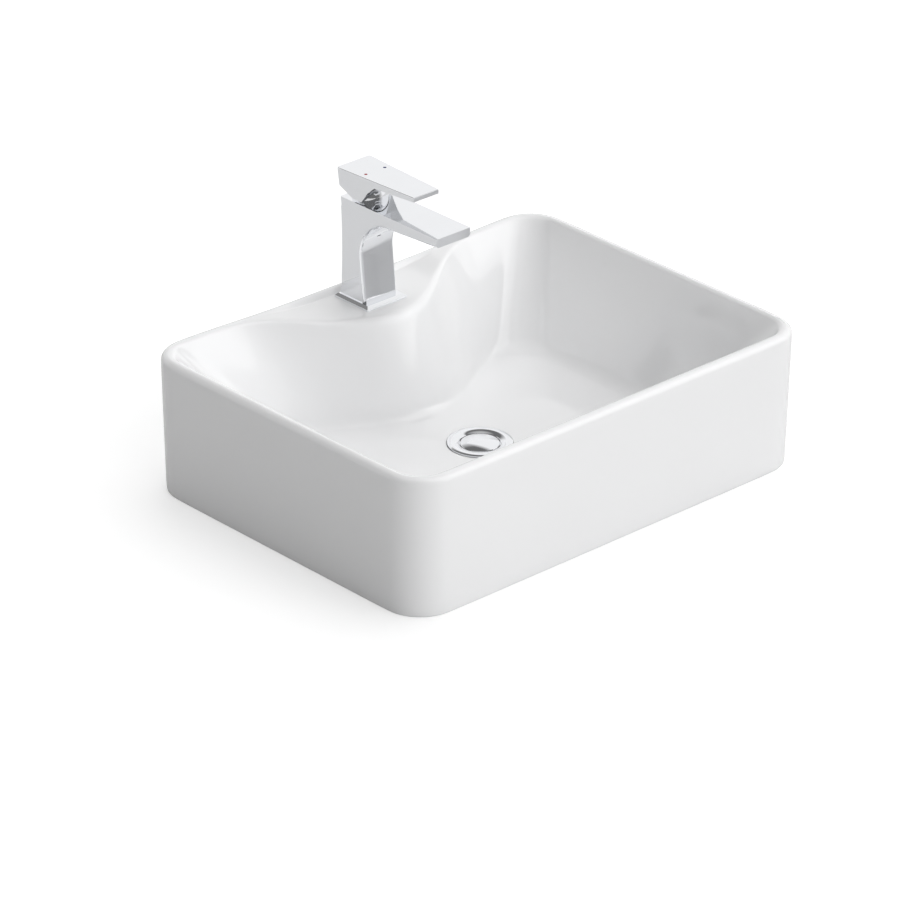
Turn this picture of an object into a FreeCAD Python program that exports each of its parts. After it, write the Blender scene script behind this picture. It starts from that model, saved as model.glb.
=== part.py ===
import FreeCAD, Part
import math
import os

import Sketcher

# Countertop basin with a deck-mounted lever mixer tap and a click waste, in millimetres.
# The origin is on the waste's axis, at the level of the counter that the basin stands on.
# X runs along the basin's length, Y towards the tap and the wall, Z up.

Vector = FreeCAD.Vector
Placement = FreeCAD.Placement
Rotation = FreeCAD.Rotation

doc = FreeCAD.newDocument("countertop_basin")
sheet = doc.addObject("Spreadsheet::Sheet", "sizes")


class Size:
    """A number together with the expression that gives it from the sheet's cells."""

    def __init__(self, value, text):
        self.value = float(value)
        self.text = text

    @staticmethod
    def of(other):
        return other if isinstance(other, Size) else Size(other, repr(float(other)))

    def __add__(self, other):
        other = Size.of(other)
        return Size(self.value + other.value, f"({self.text} + {other.text})")

    def __sub__(self, other):
        other = Size.of(other)
        return Size(self.value - other.value, f"({self.text} - {other.text})")

    def __mul__(self, other):
        other = Size.of(other)
        return Size(self.value * other.value, f"({self.text} * {other.text})")

    def __truediv__(self, other):
        other = Size.of(other)
        return Size(self.value / other.value, f"({self.text} / {other.text})")

    def __neg__(self):
        return self * -1.0

    def __radd__(self, other):
        return Size.of(other) + self

    def __rsub__(self, other):
        return Size.of(other) - self

    __rmul__ = __mul__


ZERO = Size(0.0, "0.0")
sheet_rows = 0


def size(name, value):
    """Write one driving dimension to the sheet and return it."""
    global sheet_rows
    sheet_rows += 1
    sheet.set(f"A{sheet_rows}", name)
    sheet.set(f"B{sheet_rows}", str(value))
    sheet.setAlias(f"B{sheet_rows}", name)
    return Size(value, f"sizes.{name}")


# Basin: outside
basin_length = size("basin_length", 500)
basin_width = size("basin_width", 380)
basin_height = size("basin_height", 140)
basin_corner = size("basin_corner", 40)
foot_draft = size("foot_draft", 2)
foot_edge = size("foot_edge", 1.5)
# Basin: rim, deck and bowl
rim_width = size("rim_width", 11.5)
rim_outer_roll = size("rim_outer_roll", 6.5)
rim_inner_roll = size("rim_inner_roll", 3.8)
back_dip = size("back_dip", 3.5)
back_dip_run = size("back_dip_run", 140)
deck_lip = size("deck_lip", 5.5)
deck_lip_run = size("deck_lip_run", 8)
ridge_setback = size("ridge_setback", 85)
ridge_half_length = size("ridge_half_length", 158)
ridge_roll = size("ridge_roll", 10)
bulge_foot_setback = size("bulge_foot_setback", 123)
bulge_foot_half_length = size("bulge_foot_half_length", 140)
bulge_foot_roll = size("bulge_foot_roll", 9)
floor_level = size("floor_level", 37.5)
floor_fall = size("floor_fall", 5.5)
floor_inset_side = size("floor_inset_side", 75)
floor_inset_front = size("floor_inset_front", 72)
floor_inset_back = size("floor_inset_back", 69)
floor_corner = size("floor_corner", 42)
floor_roll = size("floor_roll", 16)
drain_forward = size("drain_forward", 3.5)
# Basin: ceramic thickness
ceramic_wall = size("ceramic_wall", 11)
deck_thickness = size("deck_thickness", 12)
floor_thickness = size("floor_thickness", 12)
drain_boss_drop = size("drain_boss_drop", 2)
drain_boss_radius = size("drain_boss_radius", 48)
# Waste
waste_seat_depth = size("waste_seat_depth", 1.5)
flange_gasket_thickness = size("flange_gasket_thickness", 1.5)
flange_radius = size("flange_radius", 31.4)
flange_thickness = size("flange_thickness", 1.3)
flange_rise = size("flange_rise", 2.2)
flange_edge = size("flange_edge", 0.5)
flange_crown_radius = size("flange_crown_radius", 18)
throat_wall = size("throat_wall", 1.05)
plug_seat_drop = size("plug_seat_drop", 1.8)
tail_radius = size("tail_radius", 20.95)
tail_wall = size("tail_wall", 3.2)
tail_length = size("tail_length", 62)
tail_relief = size("tail_relief", 2.5)
tail_relief_depth = size("tail_relief_depth", 0.8)
plug_thickness = size("plug_thickness", 2)
plug_crown = size("plug_crown", 1.6)
plug_gap = size("plug_gap", 0.8)
plug_bevel = size("plug_bevel", 0.5)
plug_post = size("plug_post", 5)
plug_seal_thickness = size("plug_seal_thickness", 1)
plug_travel = size("plug_travel", 10)
plug_stem_radius = size("plug_stem_radius", 3)
click_radius = size("click_radius", 5.6)
click_length = size("click_length", 27)
spider_level = size("spider_level", 3)
spider_height = size("spider_height", 7)
spider_arm = size("spider_arm", 3)
click_lid = size("click_lid", 1.5)
click_wall = size("click_wall", 1.2)
drain_hole_clearance = size("drain_hole_clearance", 2.05)
cone_washer_thickness = size("cone_washer_thickness", 6)
slip_washer_thickness = size("slip_washer_thickness", 1.5)
backnut_thickness = size("backnut_thickness", 8)
backnut_radius = size("backnut_radius", 31)
# Tap: column, spout and foot
tap_setback = size("tap_setback", 39)
tap_hole_radius = size("tap_hole_radius", 17.5)
plate_length = size("plate_length", 50)
plate_depth = size("plate_depth", 47)
plate_thickness = size("plate_thickness", 4.5)
plate_bevel = size("plate_bevel", 2.5)
gasket_thickness = size("gasket_thickness", 1)
gasket_margin = size("gasket_margin", 3)
tap_height = size("tap_height", 101)
column_width = size("column_width", 42.5)
column_back = size("column_back", 19.5)
column_front = size("column_front", 14.6)
column_waist = size("column_waist", 5.8)
column_back_waist = size("column_back_waist", 1.8)
spout_reach = size("spout_reach", 116)
spout_tip_height = size("spout_tip_height", 9)
spout_root_height = size("spout_root_height", 15.5)
throat_radius = size("throat_radius", 38)
column_edge = size("column_edge", 3.2)
column_back_edge = size("column_back_edge", 1.5)
shank_radius = size("shank_radius", 14)
shank_drop = size("shank_drop", 5)
inlet_radius = size("inlet_radius", 4.5)
inlet_depth = size("inlet_depth", 14)
inlet_spacing = size("inlet_spacing", 13)
inlet_forward = size("inlet_forward", 4)
waterway_radius = size("waterway_radius", 1.5)
waterway_drop = size("waterway_drop", 26)
waterway_cover = size("waterway_cover", 2)
# Tap: fixing from below
stud_radius = size("stud_radius", 3)
stud_length = size("stud_length", 66)
stud_grip = size("stud_grip", 12)
stud_back = size("stud_back", 10)
clamp_radius = size("clamp_radius", 22)
clamp_slot_radius = size("clamp_slot_radius", 11.5)
clamp_rubber_thickness = size("clamp_rubber_thickness", 3)
clamp_plate_thickness = size("clamp_plate_thickness", 3)
clamp_nut_flats = size("clamp_nut_flats", 10)
clamp_nut_height = size("clamp_nut_height", 8)
# Tap: aerator
aerator_back = size("aerator_back", 16)
aerator_radius = size("aerator_radius", 9)
aerator_height = size("aerator_height", 3.4)
aerator_wall = size("aerator_wall", 1.5)
aerator_gasket_thickness = size("aerator_gasket_thickness", 1)
spout_roof = size("spout_roof", 2)
# Tap: cartridge
cartridge_radius = size("cartridge_radius", 12.5)
cartridge_wall = size("cartridge_wall", 1.5)
cartridge_floor = size("cartridge_floor", 4)
cartridge_depth = size("cartridge_depth", 36)
port_seal_thickness = size("port_seal_thickness", 1.2)
port_radius = size("port_radius", 2)
port_circle = size("port_circle", 5.5)
nut_radius = size("nut_radius", 14.8)
nut_thickness = size("nut_thickness", 4.4)
nut_depth = size("nut_depth", 6)
disc_thickness = size("disc_thickness", 3.2)
disc_radius = size("disc_radius", 8)
carrier_thickness = size("carrier_thickness", 3.5)
carrier_post_radius = size("carrier_post_radius", 4.2)
guide_neck_radius = size("guide_neck_radius", 8.2)
guide_neck_rise = size("guide_neck_rise", 3.4)
pivot_height = size("pivot_height", 1.5)
pivot_radius = size("pivot_radius", 1.5)
stem_width = size("stem_width", 7.6)
stem_depth = size("stem_depth", 7)
stem_height = size("stem_height", 22.5)
stem_arm = size("stem_arm", 9.5)
stem_ball_radius = size("stem_ball_radius", 2.6)
disc_throw = size("disc_throw", 4.2)
# Tap: shroud and lever
shroud_radius = size("shroud_radius", 17.5)
shroud_wall = size("shroud_wall", 1.8)
shroud_mouth_radius = size("shroud_mouth_radius", 14)
lever_back = size("lever_back", 25)
lever_front = size("lever_front", 78)
lever_rise = size("lever_rise", 28.2)
lever_tip_height = size("lever_tip_height", 4.5)
lever_root_height = size("lever_root_height", 6.6)
lever_back_width = size("lever_back_width", 42.5)
lever_tip_width = size("lever_tip_width", 31.5)
lever_corner = size("lever_corner", 3)
lever_edge = size("lever_edge", 0.6)
cheek_clearance = size("cheek_clearance", 2.2)
cheek_heel_height = size("cheek_heel_height", 12)
cheek_toe = size("cheek_toe", 9)
cheek_front = size("cheek_front", 26)
hub_radius = size("hub_radius", 7.2)
hub_height = size("hub_height", 3.5)
dot_radius = size("dot_radius", 1.6)
dot_depth = size("dot_depth", 0.5)
dot_spacing = size("dot_spacing", 24)
dot_forward = size("dot_forward", 7)
set_screw_radius = size("set_screw_radius", 2.5)
set_screw_length = size("set_screw_length", 8)
screw_cover_radius = size("screw_cover_radius", 3.2)
screw_cover_length = size("screw_cover_length", 2)
# Fits
running_fit = size("running_fit", 0.05)
loose_fit = size("loose_fit", 0.2)
moving_gap = size("moving_gap", 0.6)
doc.recompute()

# Levels and axes that several pieces share
deck_level = basin_height - back_dip - deck_lip
deck_underside = deck_level - deck_thickness
basin_y = drain_forward
drain_level = floor_level - floor_fall
waste_seat = drain_level - waste_seat_depth
boss_underside = drain_level - floor_thickness - drain_boss_drop
flange_underside = waste_seat + flange_gasket_thickness
flange_top = flange_underside + flange_thickness
tap_y = basin_y + basin_width / 2 - tap_setback
tap_foot = deck_level + plate_thickness
tap_top = tap_foot + tap_height
shank_bottom = deck_level - shank_drop
pivot_level = tap_top + pivot_height


class Piece:
    """A PartDesign body whose features are bound to the sheet, standing on a vertical axis at x, y."""

    def __init__(self, label, y=ZERO):
        self.body = doc.addObject("PartDesign::Body", label)
        self.body.Label = label
        self.features = 0
        self.body.setExpression("Placement.Base.y", y.text)

    def add(self, kind):
        self.features += 1
        return self.body.newObject(kind, f"{self.body.Name}_{self.features}")

    def bind(self, feature, **values):
        for name, value in values.items():
            feature.setExpression(name, Size.of(value).text)

    def sketch(self, role, height=ZERO):
        """A sketch on one of the body's own planes, lifted by height along its normal."""
        sketch = self.add("Sketcher::SketchObject")
        plane = next(f for f in self.body.Origin.OriginFeatures if f.Role == role)
        sketch.AttachmentSupport = [(plane, "")]
        sketch.MapMode = "FlatFace"
        sketch.setExpression("AttachmentOffset.Base.z", height.text)
        return sketch

    def outline(self, sketch, points, arcs=None):
        """A closed outline through the points. arcs gives a radius for the stretch after a point,
        positive where the stretch turns left."""
        arcs = arcs or {}
        points = [(Size.of(x), Size.of(y)) for x, y in points]
        first = sketch.GeometryCount
        count = len(points)
        heads = []
        for i, (x, y) in enumerate(points):
            start = Vector(x.value, y.value)
            end = Vector(*(p.value for p in points[(i + 1) % count]))
            if i not in arcs:
                sketch.addGeometry(Part.LineSegment(start, end), False)
                heads.append((1, 2))
                continue
            radius = abs(arcs[i].value)
            left = arcs[i].value > 0
            chord = end - start
            rise = math.sqrt(radius ** 2 - (chord.Length / 2) ** 2) / chord.Length
            side = Vector(-chord.y, chord.x) * (rise if left else -rise)
            centre = (start + end) / 2 + side
            a, b = (start - centre, end - centre) if left else (end - centre, start - centre)
            circle = Part.Circle(centre, Vector(0, 0, 1), radius)
            arc = Part.ArcOfCircle(circle, math.atan2(a.y, a.x), math.atan2(b.y, b.x))
            sketch.addGeometry(arc, False)
            heads.append((1, 2) if left else (2, 1))
        for i in range(count):
            after = (i + 1) % count
            sketch.addConstraint(Sketcher.Constraint(
                "Coincident", first + i, heads[i][1], first + after, heads[after][0]))
        for i, (x, y) in enumerate(points):
            self.fix(sketch, "DistanceX", (-1, 1, first + i, heads[i][0]), x)
            self.fix(sketch, "DistanceY", (-1, 1, first + i, heads[i][0]), y)
        for i, radius in arcs.items():
            self.fix(sketch, "Radius", (first + i,), radius if radius.value > 0 else -radius)

    def fix(self, sketch, kind, places, value):
        index = sketch.addConstraint(Sketcher.Constraint(kind, *places, value.value))
        sketch.setExpression(f"Constraints[{index}]", value.text)

    def turned(self, points, arcs=None):
        """A round piece: an outline of radius and height, turned about the upright axis."""
        sketch = self.sketch("XZ_Plane")
        self.outline(sketch, points, arcs)
        turn = self.add("PartDesign::Revolution")
        turn.Profile = sketch
        turn.ReferenceAxis = (sketch, ["V_Axis"])
        turn.Angle = 360.0
        return self

    def ring(self, inner, outer, bottom, top):
        return self.turned([(inner, bottom), (outer, bottom), (outer, top), (inner, top)])

    def padded(self, role, points, length, height=ZERO, arcs=None, both_ways=False):
        sketch = self.sketch(role, height)
        self.outline(sketch, points, arcs)
        pad = self.add("PartDesign::Pad")
        pad.Profile = sketch
        pad.Midplane = both_ways
        self.bind(pad, Length=length)
        return self

    def cut(self, role, points, length, height=ZERO, arcs=None, both_ways=False):
        """Take an outline out of the piece, downwards through length or both ways from the plane."""
        sketch = self.sketch(role, height)
        self.outline(sketch, points, arcs)
        pocket = self.add("PartDesign::Pocket")
        pocket.Profile = sketch
        pocket.Midplane = both_ways
        self.bind(pocket, Length=length)
        return self

    def solid(self, kind, x=ZERO, y=ZERO, z=ZERO, turn=None, **values):
        """Add or take away a primitive: kind is such as AdditiveBox or SubtractiveCylinder."""
        feature = self.add(f"PartDesign::{kind}")
        if turn:
            feature.Placement = Placement(Vector(), Rotation(*turn))
        self.bind(feature, **values)
        for axis, place in zip("xyz", (x, y, z)):
            feature.setExpression(f"Placement.Base.{axis}", Size.of(place).text)
        return self

    def bore(self, radius, bottom, top, x=ZERO, y=ZERO):
        return self.solid("SubtractiveCylinder", x, y, bottom, Radius=radius, Height=top - bottom)

    def dress(self, kind, chosen, amount):
        """Round or bevel the edges that chosen(edge) picks."""
        doc.recompute()
        base = self.body.Tip
        picked = [f"Edge{i + 1}" for i, edge in enumerate(base.Shape.Edges) if chosen(edge)]
        if not picked:
            raise RuntimeError(f"no edge of {self.body.Label} was found to dress")
        feature = self.add(f"PartDesign::{kind}")
        feature.Base = (base, picked)
        self.bind(feature, **{"Radius" if kind == "Fillet" else "Size": amount})
        return self


ALONG_X = (Vector(0, 1, 0), 90)
ALONG_Y = (Vector(1, 0, 0), -90)

pieces = []


def piece(label, y=ZERO):
    made = Piece(label, y)
    pieces.append(made.body)
    return made


# Basin: one ceramic casting, its visible skin and its hollow underside worked out as two smooth surfaces

CORNER_STATIONS = 6
SIDE_STATIONS = 6
FRONT_STATIONS = 8
BACK_STATIONS = 24
CORNER_SIGNS = ((1, 1), (-1, 1), (-1, -1), (1, -1))


def stations():
    """The places round the basin, anticlockwise: a side's name or a corner's number, and a share of it."""
    sides = (("right", SIDE_STATIONS), ("back", BACK_STATIONS),
             ("left", SIDE_STATIONS), ("front", FRONT_STATIONS))
    for corner, (side, count) in enumerate(sides):
        for i in range(1, count):
            yield side, i / count
        for i in range(CORNER_STATIONS + 1):
            yield corner, i / CORNER_STATIONS


STATIONS = list(stations())


def bell(x, half_length):
    """1 at the middle, 0 beyond half_length, with a cosine's slopes between."""
    return 0.5 + 0.5 * math.cos(math.pi * min(abs(x) / half_length, 1.0))


def smooth_step(value):
    value = min(max(value, 0.0), 1.0)
    return value * value * (3 - 2 * value)


def smooth_larger(a, b, blend):
    """The larger of two numbers, eased where they differ by less than blend."""
    share = max(blend - abs(a - b), 0.0) / blend
    return max(a, b) + share ** 3 * blend / 6


def rounded_outline(half_length, front, back, radius, bulge=0.0, bulge_half_length=1.0):
    """Plan points of a rounded rectangle at every station, its back edge pushed in by a bell."""
    points = []
    right = half_length - radius
    near = front + radius
    far = back - radius
    for side, share in STATIONS:
        if side == "right":
            points.append(Vector(half_length, near + (far - near) * share, 0))
        elif side == "left":
            points.append(Vector(-half_length, far + (near - far) * share, 0))
        elif side == "front":
            points.append(Vector(-right + 2 * right * share, front, 0))
        elif side == "back":
            x = right - 2 * right * share
            points.append(Vector(x, back - bulge * bell(x, bulge_half_length), 0))
        else:
            angle = (side + share) * math.pi / 2
            across, along = CORNER_SIGNS[side]
            middle = Vector(across * right, far if along > 0 else near, 0)
            points.append(middle + Vector(math.cos(angle), math.sin(angle), 0) * radius)
    return points


def corner_run(corner, towards, away, setback, steps=4):
    """Poles that round a corner between two directions, setback from it on each side."""
    run = []
    for i in range(steps + 1):
        share = i / steps
        run.append(corner + (towards * (1 - share) ** 2 + away * share ** 2) * setback)
    return run


def unit(vector):
    return vector / vector.Length


def skin_poles():
    """For every station, the poles up the outer wall, over the rim or deck, down the bowl and to the drain,
    and the poles up inside the outer wall, under the deck and down the back of the bowl."""
    half_length = basin_length.value / 2
    half_width = basin_width.value / 2
    wall = ceramic_wall.value
    rim = rim_width.value
    draft = foot_draft.value
    edge = foot_edge.value
    corner = basin_corner.value
    roll = rim_outer_roll.value
    top_ring = rounded_outline(half_length, -half_width, half_width, corner)
    foot_ring = rounded_outline(half_length - draft, draft - half_width, half_width - draft, corner)
    edge_ring = rounded_outline(half_length - draft - edge, draft + edge - half_width,
                                half_width - draft - edge, corner - edge)
    inner_ring = rounded_outline(half_length - draft - wall, draft + wall - half_width,
                                 half_width - draft - wall, corner - wall)
    bowl_ring = rounded_outline(half_length - rim, rim - half_width, half_width - rim, corner - rim,
                                ridge_setback.value - rim, ridge_half_length.value)
    floor_ring = rounded_outline(half_length - floor_inset_side.value, floor_inset_front.value - half_width,
                                 half_width - floor_inset_back.value, floor_corner.value,
                                 bulge_foot_setback.value - floor_inset_back.value,
                                 bulge_foot_half_length.value)
    drain = Vector(0, -basin_y.value, drain_level.value)
    boss = Vector(0, -basin_y.value, boss_underside.value)
    eye = tail_radius.value / 2
    up = Vector(0, 0, 1)
    outside = []
    inside = []
    for i, (side, share) in enumerate(STATIONS):
        outer = top_ring[i]
        inward = unit(bowl_ring[i] - outer)
        width = (bowl_ring[i] - outer).Length
        deck_share = smooth_step((width - 2 * rim) / (4 * rim)) if side == "back" else 0.0
        dip_share = smooth_step((half_length - corner - abs(outer.x)) / back_dip_run.value)
        dip = back_dip.value * dip_share if side == "back" else 0.0
        crest = basin_height.value - dip
        deck = crest - deck_lip.value * deck_share
        ridge_cut = rim_inner_roll.value + (ridge_roll.value - rim_inner_roll.value) * deck_share
        floor_cut = floor_roll.value + (bulge_foot_roll.value - floor_roll.value) * deck_share
        ridge = bowl_ring[i] + up * deck
        foot = floor_ring[i] + up * floor_level.value
        to_eye = unit(Vector(foot.x, foot.y, 0) - Vector(drain.x, drain.y, 0))
        eye_point = drain + to_eye * eye
        fall = unit(foot - ridge)
        along = unit(eye_point - foot)
        poles = [edge_ring[i], foot_ring[i] + (edge_ring[i] - foot_ring[i]) * 0.25 + up * edge * 0.25,
                 foot_ring[i] + up * edge * 1.2]
        wall_top = outer + up * (crest - roll)
        for step in (0.35, 0.7):
            poles.append(foot_ring[i] + (wall_top - foot_ring[i]) * step)
        for step in range(5):
            angle = step * math.pi / 8
            poles.append(wall_top + inward * roll * (1 - math.cos(angle)) + up * roll * math.sin(angle))
        flat = width - roll - ridge_cut
        lip = min(deck_lip_run.value, flat / 2)
        for step, drop in ((0.4, 0.5), (0.62, 1.0), (0.81, 1.0), (1.0, 1.0)):
            poles.append(outer + inward * (roll + lip * step) + up * (crest - (crest - deck) * drop))
        poles.append(outer + inward * (roll + (flat + lip) / 2) + up * deck)
        poles += corner_run(ridge, -inward, fall, ridge_cut)
        wall_start = poles[-1]
        wall_end = foot - fall * floor_cut
        for step in (0.33, 0.67):
            poles.append(wall_start + (wall_end - wall_start) * step)
        poles += corner_run(foot, -fall, along, floor_cut)
        floor_start = poles[-1]
        for step in (0.35, 0.7, 1.0):
            poles.append(floor_start + (eye_point - floor_start) * step)
        outside.append(poles)

        slope = (floor_ring[i] - bowl_ring[i]).Length / (deck - floor_level.value)
        thick = wall * math.sqrt(1 + slope ** 2)
        flat_reach = width - thick + deck_thickness.value * slope
        reach = smooth_larger(flat_reach, wall * 1.45, wall * 2)
        roof = deck - (reach - width + thick) / slope
        roof_outer = outer + inward * wall + up * roof
        roof_inner = outer + inward * reach + up * roof
        underside = floor_level.value - floor_thickness.value
        under_foot = roof_inner + fall * ((roof - underside) / -fall.z)
        boss_rim = boss + to_eye * drain_boss_radius.value
        boss_eye = boss + to_eye * eye
        round_cut = min(0.45 * (reach - wall), wall / 2)
        poles = [inner_ring[i]]
        for step in (0.33, 0.67):
            poles.append(inner_ring[i] + (roof_outer - up * round_cut - inner_ring[i]) * step)
        poles += corner_run(roof_outer, -up, inward, round_cut)
        poles.append((roof_outer + roof_inner) / 2)
        poles += corner_run(roof_inner, -inward, fall, round_cut)
        for step in (0.33, 0.67):
            poles.append(roof_inner + (under_foot - roof_inner) * step)
        poles += corner_run(under_foot, -fall, unit(boss_rim - under_foot), floor_cut)
        poles.append((under_foot + boss_rim) / 2)
        for step in (0.0, 0.2, 0.6, 1.0):
            poles.append(boss_rim + (boss_eye - boss_rim) * step)
        inside.append(poles)
    return outside, inside


def smooth_surface(poles):
    """A surface closed round the stations and open across them, smooth to its second derivative."""
    around = len(poles)
    across = len(poles[0])
    surface = Part.BSplineSurface()
    surface.buildFromPolesMultsKnots(
        poles, [1] * (around + 1), [4] + [1] * (across - 4) + [4],
        list(range(around + 1)), list(range(across - 2)), True, False, 3, 3)
    return surface


def basin_casting():
    outside, inside = (smooth_surface(poles) for poles in skin_poles())
    edges = []
    for surface in (outside, inside):
        low, high = surface.bounds()[2:]
        edges.append((surface.vIso(low).toShape(), surface.vIso(high).toShape()))
    foot = Part.makeFace([Part.Wire(edges[0][0]), Part.Wire(edges[1][0])], "Part::FaceMakerBullseye")
    eye = Part.makeRuledSurface(edges[0][1], edges[1][1])
    shell = Part.makeShell([outside.toShape(), inside.toShape(), foot, eye])
    shell.sewShape()
    solid = Part.makeSolid(shell)
    if solid.Volume < 0:
        solid.reverse()
    return solid


def cutter(name, radius, bottom, top, y):
    tool = doc.addObject("Part::Cylinder", name)
    for key, value in (("Radius", radius), ("Height", top - bottom), ("Placement.Base.y", y),
                       ("Placement.Base.z", bottom)):
        tool.setExpression(key, value.text)
    return tool


def less(name, base, tool):
    cut = doc.addObject("Part::Cut", name)
    cut.Base = base
    cut.Tool = tool
    return cut


casting = doc.addObject("Part::Feature", "basin_casting")
casting.Shape = basin_casting()
casting.setExpression("Placement.Base.y", basin_y.text)
tap_hole = cutter("tap_hole", tap_hole_radius, deck_underside - deck_thickness, basin_height, tap_y)
drain_hole = cutter("drain_hole", tail_radius + drain_hole_clearance, ZERO, basin_height, ZERO)
waste_recess = cutter("waste_recess", flange_radius + loose_fit * 3, waste_seat, basin_height, ZERO)
basin = less("basin_body", less("drained", less("drilled", casting, tap_hole), drain_hole), waste_recess)
basin.Label = "basin_body"
pieces.append(basin)


# Waste: flange and tail, plug, click mechanism and the fixings under the ceramic

tail_bore = tail_radius - tail_wall
throat = tail_radius - throat_wall
plug_radius = throat - plug_gap
seal_seat = flange_underside - plug_seat_drop
plug_underside = seal_seat + plug_seal_thickness
plug_edge = plug_underside + plug_thickness
hub_bore = click_radius + running_fit
hub_outer = hub_bore + spider_arm / 2
spider_top = spider_level + spider_height

waste_body = piece("waste_body").turned([
    (tail_bore, -tail_length), (tail_radius, -tail_length), (tail_radius, ZERO),
    (tail_radius - tail_relief_depth, ZERO), (tail_radius - tail_relief_depth, tail_relief),
    (tail_radius, tail_relief), (tail_radius, flange_underside), (flange_radius, flange_underside),
    (flange_radius, flange_underside + flange_rise), (throat + flange_edge, flange_top),
    (throat, flange_top - flange_edge), (throat, seal_seat), (tail_bore, seal_seat)],
    {8: flange_crown_radius})
waste_body.ring(hub_bore, hub_outer, spider_level, spider_top)
for turn, length_name, width_name in ((0, "Length", "Width"), (1, "Width", "Length")):
    for way in (-1, 1):
        arm = tail_bore - hub_outer + spider_arm
        near = (hub_outer - spider_arm / 4) if way > 0 else -(hub_outer - spider_arm / 4 + arm)
        across = -spider_arm / 2
        waste_body.solid("AdditiveBox", across if turn else near, near if turn else across, spider_level,
                         Height=spider_height, **{length_name: arm, width_name: spider_arm})

piece("flange_gasket").ring(tail_radius + loose_fit, flange_radius - flange_edge, waste_seat,
                            flange_underside)

post_radius = plug_stem_radius + spider_arm
crown_edge = plug_radius - plug_bevel
crown_radius = (crown_edge * crown_edge + plug_crown * plug_crown) / (plug_crown * 2)
piece("waste_plug").turned([
    (plug_stem_radius, plug_underside - plug_post), (post_radius, plug_underside - plug_post),
    (post_radius, plug_underside), (crown_edge, plug_underside),
    (plug_radius, plug_underside + plug_bevel), (plug_radius, plug_edge - plug_bevel),
    (crown_edge, plug_edge), (ZERO, plug_edge + plug_crown), (ZERO, plug_underside),
    (plug_stem_radius, plug_underside)],
    {6: crown_radius})
piece("plug_seal").ring(tail_bore - tail_wall, plug_radius - plug_gap / 2, seal_seat + running_fit,
                        plug_underside)

click_top = spider_top + spider_height
click_bottom = click_top - click_length
click_bore = click_radius - click_wall
click_ceiling = click_top - click_lid
collar_top = click_ceiling - plug_travel - moving_gap
stem_foot = collar_top - spider_arm
spring_floor = click_bottom + click_lid
piece("plug_stem").turned([
    (ZERO, stem_foot), (click_bore - moving_gap / 2, stem_foot), (click_bore - moving_gap / 2, collar_top),
    (plug_stem_radius - running_fit, collar_top), (plug_stem_radius - running_fit, plug_underside),
    (ZERO, plug_underside)])
piece("click_housing").turned([
    (ZERO, click_bottom), (click_radius, click_bottom), (click_radius, spider_top),
    (hub_outer, spider_top), (hub_outer, click_top), (plug_stem_radius, click_top),
    (plug_stem_radius, click_ceiling), (click_bore, click_ceiling), (click_bore, spring_floor),
    (ZERO, spring_floor)])
piece("return_spring").ring(click_bore - moving_gap * 4, click_bore - moving_gap, spring_floor, stem_foot)

cone_bottom = boss_underside - cone_washer_thickness
slip_bottom = cone_bottom - slip_washer_thickness
nut_bottom = slip_bottom - backnut_thickness
piece("cone_washer").turned([
    (tail_radius + loose_fit, cone_bottom), (backnut_radius - slip_washer_thickness, cone_bottom),
    (backnut_radius - cone_washer_thickness / 2, boss_underside), (tail_radius + loose_fit, boss_underside)])
piece("slip_washer").ring(tail_radius + loose_fit, backnut_radius, slip_bottom, cone_bottom)


def polygon(radius, sides, y=ZERO):
    """Corner points of a regular polygon of that corner radius."""
    turns = [2 * math.pi * (i + 0.5) / sides for i in range(sides)]
    return [(radius * math.cos(a), radius * math.sin(a) + y) for a in turns]


backnut = piece("backnut").padded("XY_Plane", polygon(backnut_radius, 6), backnut_thickness, nut_bottom)
backnut.bore(tail_radius + running_fit, nut_bottom - 1, slip_bottom + 1)


# Tap: base plate and its gasket, column with spout, and the fixings under the deck

def rectangle(length, depth, y=ZERO):
    x = length / 2
    return [(-x, y - depth / 2), (x, y - depth / 2), (x, y + depth / 2), (-x, y + depth / 2)]


def at_level(level):
    """Picks the straight edges that lie at one level."""
    def chosen(edge):
        box = edge.BoundBox
        straight = edge.Curve.TypeId == "Part::GeomLine"
        return straight and box.ZLength < 1e-4 and abs(box.ZMin - level.value) < 1e-4
    return chosen


gasket_length = plate_length - gasket_margin * 2
gasket_depth = plate_depth - gasket_margin * 2
base_plate = piece("base_plate", tap_y)
base_plate.padded("XY_Plane", rectangle(plate_length, plate_depth), plate_thickness, deck_level)
base_plate.dress("Chamfer", at_level(tap_foot), plate_bevel)
base_plate.cut("XY_Plane", rectangle(gasket_length, gasket_depth), gasket_thickness,
               deck_level + gasket_thickness)
base_plate.bore(shank_radius + loose_fit, deck_level - 1, tap_foot + 1)
base_gasket = piece("base_gasket", tap_y)
base_gasket.padded("XY_Plane", rectangle(gasket_length - loose_fit * 2, gasket_depth - loose_fit * 2),
                   gasket_thickness, deck_level)
base_gasket.bore(shank_radius + loose_fit, deck_level - 1, deck_level + gasket_thickness + 1)

spout_underside_tip = tap_top - spout_tip_height
spout_underside_root = tap_top - spout_root_height
cartridge_seat = tap_top - cartridge_depth - port_seal_thickness
nut_seat = tap_top - nut_depth

half_height = tap_height / 2
back_radius = (half_height * half_height + column_back_waist * column_back_waist) / (column_back_waist * 2)
tap_body = piece("tap_body", tap_y)
tap_body.padded("YZ_Plane", [
    (column_back, tap_foot), (column_back, tap_top), (-spout_reach, tap_top),
    (-spout_reach, spout_underside_tip), (-column_waist, spout_underside_root), (-column_front, tap_foot)],
    column_width, arcs={0: -back_radius}, both_ways=True)


def throat_corner(edge):
    box = edge.BoundBox
    return box.XLength > 1.0 and abs(box.YMax + column_waist.value) < 1e-3


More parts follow.
